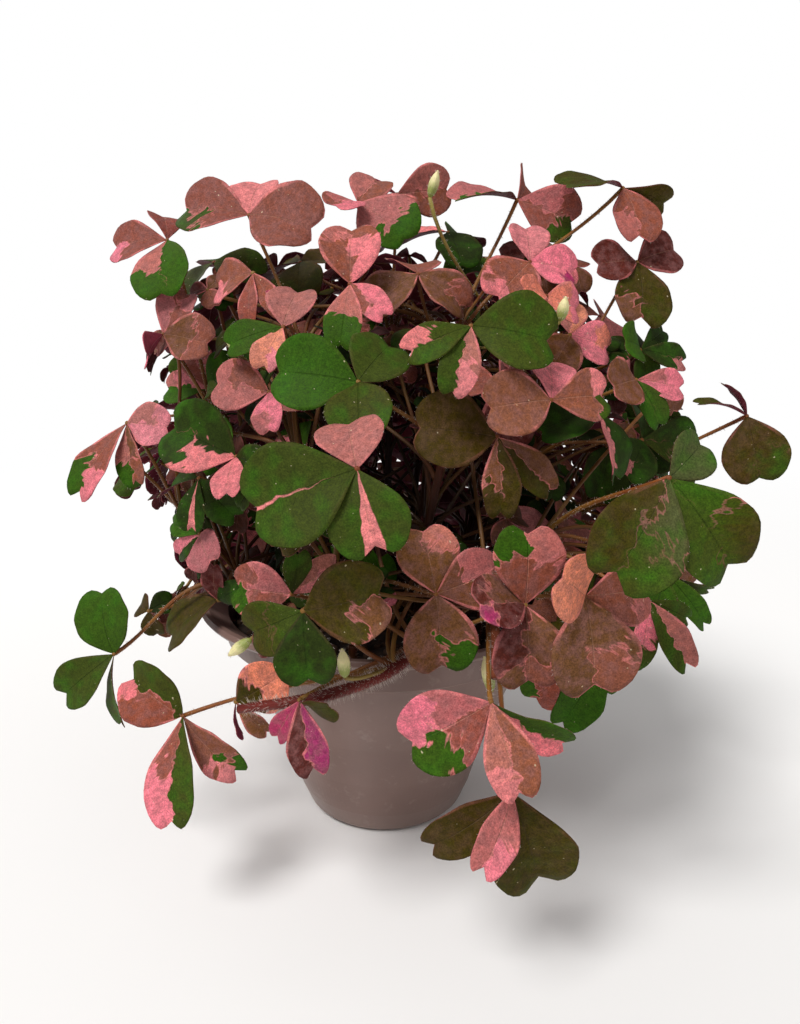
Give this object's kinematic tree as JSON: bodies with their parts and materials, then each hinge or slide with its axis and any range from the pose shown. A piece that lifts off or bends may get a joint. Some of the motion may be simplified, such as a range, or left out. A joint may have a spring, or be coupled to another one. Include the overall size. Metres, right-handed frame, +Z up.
{
  "type": "potted houseplant",
  "caption": "Potted oxalis houseplant: a mound of three-part leaves with heart shaped leaflets marked green, plum and pink, spilling over a smooth tapered plastic pot.",
  "frame": {"origin": "middle of the pot's flat base, on the surface that it stands on", "axes": "+Z up along the pot's axis; -Y towards the front of the plant, +X to the right seen from the front"},
  "size_m": [0.2058, 0.1933, 0.2029],
  "materials": {
    "pot_plastic": "smooth light grey plastic with a slight mauve cast",
    "potting_soil": "dark crumbly potting soil",
    "foliage_green": "soft hairy leaf",
    "foliage_plum": "soft hairy leaf",
    "foliage_olive": "soft hairy leaf",
    "foliage_pink": "soft hairy leaf",
    "foliage_deep_green": "soft hairy leaf"
  },
  "bodies": {
    "root": {"pot": "pot_plastic", "potting_mix": "potting_soil", "stem_01": "foliage_green", "stem_02": "foliage_plum", "stem_03": "foliage_olive", "stem_04": "foliage_pink", "stem_05": "foliage_deep_green", "stem_06": "foliage_green", "stem_07": "foliage_plum", "stem_08": "foliage_olive", "stem_09": "foliage_pink", "stem_10": "foliage_deep_green", "stem_11": "foliage_green", "stem_12": "foliage_plum", "stem_13": "foliage_olive", "stem_14": "foliage_pink", "stem_15": "foliage_deep_green", "stem_16": "foliage_green", "stem_17": "foliage_plum", "stem_18": "foliage_olive", "stem_19": "foliage_pink", "stem_20": "foliage_deep_green"}
  },
  "joints": []
}
